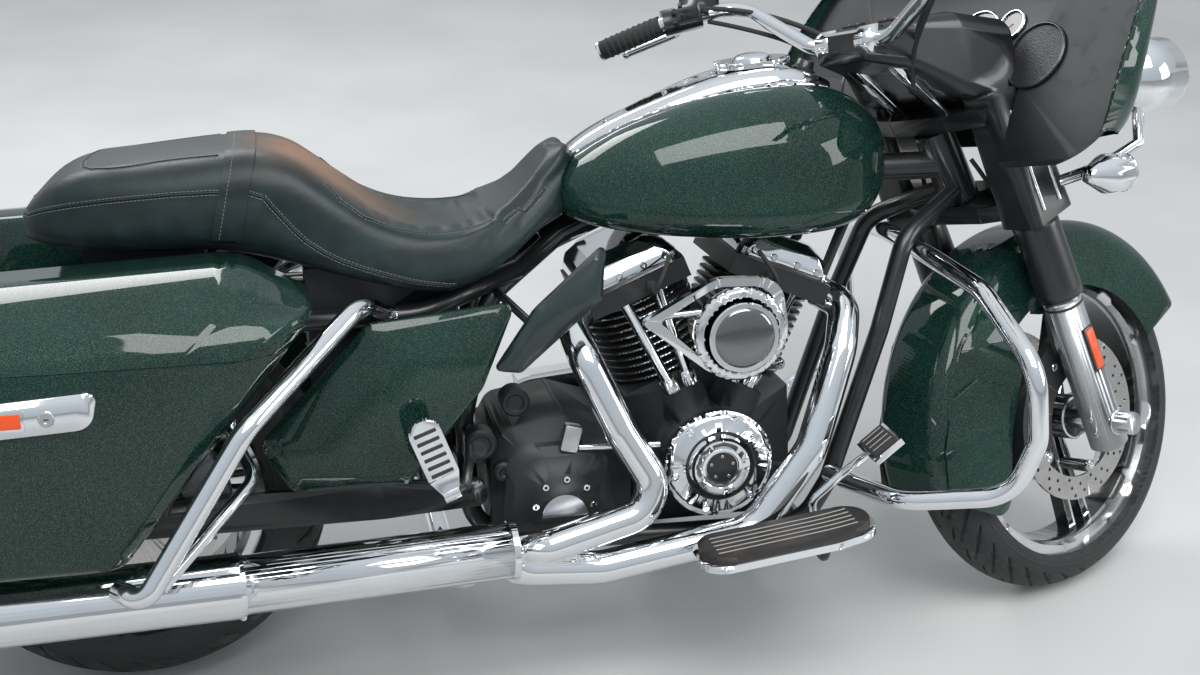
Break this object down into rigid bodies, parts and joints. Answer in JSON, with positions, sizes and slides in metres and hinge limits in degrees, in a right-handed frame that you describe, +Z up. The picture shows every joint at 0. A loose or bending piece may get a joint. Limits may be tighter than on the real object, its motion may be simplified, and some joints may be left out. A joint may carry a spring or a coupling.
{
  "type": "touring cruiser motorcycle",
  "caption": "Full-size touring cruiser with V-twin engine, fork-mounted fairing, hard saddlebags and chrome guards, parked on its side stand with the steering turned left.",
  "frame": {"origin": "on the ground, under the middle of the parked machine's bounding box", "axes": "+X along the machine's heading, +Y to its left, +Z up; the machine leans 10 degrees to +Y on its side stand"},
  "size_m": [2.3979, 0.9854, 1.3297],
  "materials": {
    "gloss_green": "metallic flake under gloss clear coat",
    "chrome": "polished chrome plate",
    "black_metal": "satin black",
    "grey_metal": "satin cast and machined",
    "steel": "ground",
    "black_plastic": "fine matt grain",
    "black_leather": "smooth, stitched",
    "black_rubber": "matt",
    "tyre": "matt",
    "smoked_glass": "smoked clear sheet"
  },
  "bodies": {
    "chassis": {"frame_cradle": "black_metal", "crankcase": "grey_metal", "cylinders": "black_metal", "rocker_covers": "chrome", "cam_cover_and_pushrod_tubes": "chrome", "primary_cover": "chrome", "gearbox": "black_metal", "air_cleaner_body": "black_metal", "air_cleaner_trim": "chrome", "exhaust_pipes": "chrome", "mufflers": "chrome", "fuel_tank": "gloss_green", "tank_console": "chrome", "rear_fender": "gloss_green", "battery_tray": "black_metal", "seat": "black_leather", "side_covers": "gloss_green", "mid_deflectors": "black_plastic", "saddlebags": "gloss_green", "bag_latches": "chrome", "engine_guard": "chrome", "saddlebag_guards": "chrome", "swingarm": "black_metal", "rear_shocks": "black_metal", "drive_belt": "black_rubber", "rear_caliper": "grey_metal", "tail_lamps": "chrome", "foot_controls": "chrome", "body_brackets": "black_metal"},
    "steering": {"fork_sliders": "grey_metal", "fork_tubes": "steel", "fork_yokes": "black_metal", "handlebar": "chrome", "bar_controls": "chrome", "fork_cowls": "black_plastic", "outer_fairing": "gloss_green", "inner_fairing": "black_plastic", "windshield": "smoked_glass", "front_lamps": "chrome", "front_calipers": "grey_metal", "front_fender": "gloss_green"},
    "front_wheel": {"front_tyre": "tyre", "front_rim": "black_metal", "front_discs": "steel"},
    "rear_wheel": {"rear_tyre": "tyre", "rear_rim": "black_metal", "rear_disc": "steel"},
    "lid_right": {"lid_right": "gloss_green"},
    "lid_left": {"lid_left": "gloss_green"},
    "fuel_door": {"fuel_door": "chrome"},
    "peg_right": {"peg_right": "chrome"},
    "peg_left": {"peg_left": "chrome"},
    "board_right": {"board_right": "chrome", "board_pad_right": "black_rubber"},
    "board_left": {"board_left": "chrome", "board_pad_left": "black_rubber"},
    "side_stand": {"side_stand": "black_metal"}
  },
  "joints": [
    {"name": "steering_turn", "type": "hinge", "parent": "chassis", "child": "steering", "pos_m": [0.68653, 0.02538, 0.76915], "axis": [-0.4312, 0.1567, 0.8886], "range_deg": [-50, 0]},
    {"name": "front_wheel_spin", "type": "hinge", "parent": "steering", "child": "front_wheel", "pos_m": [0.8996, -0.06217, 0.30416], "axis": [-0.3813, 0.8609, -0.3368], "continuous": true},
    {"name": "rear_wheel_spin", "type": "hinge", "parent": "chassis", "child": "rear_wheel", "pos_m": [-0.72644, -0.05443, 0.31651], "axis": [0, 0.9848, -0.1736], "continuous": true},
    {"name": "side_stand_hinge", "type": "hinge", "parent": "chassis", "child": "side_stand", "pos_m": [0.12246, 0.07671, 0.1504], "axis": [0.0825, 0.6262, 0.7753], "range_deg": [0, 100]},
    {"name": "lid_right_hinge", "type": "hinge", "parent": "chassis", "child": "lid_right", "pos_m": [-0.78378, -0.40961, 0.71511], "axis": [1, -0.0014, -0.0079], "range_deg": [0, 80]},
    {"name": "lid_left_hinge", "type": "hinge", "parent": "chassis", "child": "lid_left", "pos_m": [-0.78378, 0.41565, 0.56959], "axis": [-1, 0.0014, 0.0079], "range_deg": [0, 80]},
    {"name": "fuel_door_hinge", "type": "hinge", "parent": "chassis", "child": "fuel_door", "pos_m": [0.32809, 0.10332, 0.95637], "axis": [-0.9969, -0.0137, -0.078], "range_deg": [0, 100]},
    {"name": "peg_right_hinge", "type": "hinge", "parent": "chassis", "child": "peg_right", "pos_m": [-0.22805, -0.30446, 0.40731], "axis": [0.9396, 0.0595, 0.3372], "range_deg": [0, 90]},
    {"name": "peg_left_hinge", "type": "hinge", "parent": "chassis", "child": "peg_left", "pos_m": [-0.22805, 0.21157, 0.31632], "axis": [-0.9396, -0.0595, -0.3372], "range_deg": [0, 90]},
    {"name": "board_right_hinge", "type": "hinge", "parent": "chassis", "child": "board_right", "pos_m": [0.30089, -0.32975, 0.27545], "axis": [-0.9935, -0.0198, -0.1122], "range_deg": [0, 15]},
    {"name": "board_left_hinge", "type": "hinge", "parent": "chassis", "child": "board_left", "pos_m": [0.30089, 0.19023, 0.18377], "axis": [0.9935, 0.0198, 0.1122], "range_deg": [0, 15]}
  ]
}
